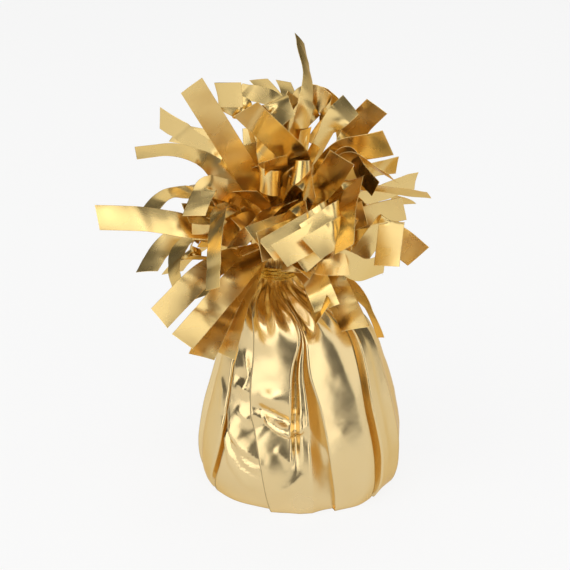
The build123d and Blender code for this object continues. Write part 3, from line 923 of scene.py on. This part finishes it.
for k in range(short_count):
    azimuth, rise = golden_angle * k % 360, lowest_rise + rise_span * k / short_count
    roll, bend = draw.uniform(-75, 75), draw.uniform(-35, 20)
    heading = (azimuth + draw.uniform(-40, 40), rise + bend, roll + draw.uniform(-50, 50))
    length = draw.uniform(14, 23)
    under_stack = rise <= 20 and abs(azimuth - 270) <= 50
    if k not in in_the_way and not under_stack:
        close_rows.append(((azimuth, rise, roll), ((5, 16, *heading),), length))
for number, row in enumerate(close_rows, 1):
    film_piece(f"film_close_{number:02d}", strip_film(row, seed=400 + number), "weight")
print("closer strips", len(close_rows))

# %% [markdown]
# ## Floor and light
# A plain pale floor carries a soft shadow. Gold film has no look of its own without something to
# mirror, so the light is a studio's: softboxes overhead, at the left and right, behind, and low and
# high in front. The room between them is dark, which gives the panels their dark bands. Only the camera
# sees a white world behind it.


# %% Floor
floor_half, floor_drop = 4000, 0.05
seen_white, mirrored_white = 0.85, 0.5


def pale_floor():
    """Matt white floor that stays near white for the camera and in reflections, and keeps the shadow."""
    material, nodes, links, shader = new_material("pale_floor")
    shader.inputs["Base Color"].default_value = (0.86, 0.86, 0.85, 1)
    shader.inputs["Roughness"].default_value = 0.9
    glow = nodes.new("ShaderNodeEmission")
    glow.inputs["Color"].default_value = (1, 1, 1, 1)
    glow.inputs["Strength"].default_value = 1.0
    rays = nodes.new("ShaderNodeLightPath")
    mirrored = nodes.new("ShaderNodeMath")
    mirrored.operation = "MULTIPLY"
    mirrored.inputs[1].default_value = mirrored_white
    links.new(rays.outputs["Is Glossy Ray"], mirrored.inputs[0])
    seen = nodes.new("ShaderNodeMath")
    seen.operation = "MULTIPLY_ADD"
    seen.inputs[1].default_value = seen_white
    links.new(rays.outputs["Is Camera Ray"], seen.inputs[0])
    links.new(mirrored.outputs[0], seen.inputs[2])
    mix = nodes.new("ShaderNodeMixShader")
    links.new(seen.outputs[0], mix.inputs["Fac"])
    links.new(shader.outputs[0], mix.inputs[1])
    links.new(glow.outputs[0], mix.inputs[2])
    links.new(mix.outputs[0], nodes["Material Output"].inputs["Surface"])
    return material


corner = np.array([-floor_half, floor_half], float)
floor_grid = np.stack([*np.meshgrid(corner, corner), np.full((2, 2), -floor_drop)], axis=-1)
floor = surface("floor", floor_grid)
floor.data.materials.append(pale_floor())
print("floor half width", floor_half)


# %% Lamps and surroundings
def softbox(name, place, aim, width, height, brightness):
    """Even area lamp at a place in metres, turned to a point; the camera doesn't see the lamp."""
    lamp = bpy.data.lights.new(name, "AREA")
    lamp.shape = "RECTANGLE"
    lamp.size, lamp.size_y = width, height
    lamp.energy = brightness * pi * width * height
    made = bpy.data.objects.new(name, lamp)
    made.location = place
    made.visible_camera = False
    away = np.array(place, float) - np.array(aim, float)
    flat = np.hypot(away[0], away[1])
    made.rotation_euler = (np.arctan2(flat, away[2]), 0, np.arctan2(away[0], -away[1]))
    scene.collection.objects.link(made)


middle_height = (0, 0, 0.06)
# Place, width, height and brightness.
softboxes = {
    "top_softbox": ((-0.15, -0.05, 1.1), 1.0, 1.0, 1.1),
    "left_softbox": ((-0.68, -0.66, 0.55), 1.0, 1.15, 1.45),
    "front_softbox": ((0.45, -0.84, 0.5), 0.42, 1.1, 1.35),
    "high_softbox": ((-0.05, -0.8, 0.7), 0.6, 0.45, 1.3),
    "right_softbox": ((1.0, -0.03, 0.45), 0.95, 0.9, 0.9),
    "back_softbox": ((0.1, 0.95, 0.75), 1.6, 0.7, 0.8),
}
for name, (place, width, height, brightness) in softboxes.items():
    softbox(name, place, middle_height, width, height, brightness)

world = bpy.data.worlds.new("studio")
scene.world = world
world.use_nodes = True
world_nodes, world_links = world.node_tree.nodes, world.node_tree.links
room = world_nodes["Background"]
room.inputs["Color"].default_value = (0.11, 0.11, 0.11, 1)
room.inputs["Strength"].default_value = 1.0
sky = world_nodes.new("ShaderNodeBackground")
sky.inputs["Color"].default_value = (1, 1, 1, 1)
sky.inputs["Strength"].default_value = 1.0
rays = world_nodes.new("ShaderNodeLightPath")
choose = world_nodes.new("ShaderNodeMixShader")
world_links.new(rays.outputs["Is Camera Ray"], choose.inputs["Fac"])
world_links.new(room.outputs[0], choose.inputs[1])
world_links.new(sky.outputs[0], choose.inputs[2])
world_links.new(choose.outputs[0], world_nodes["World Output"].inputs["Surface"])
scene.view_settings.view_transform = "Standard"
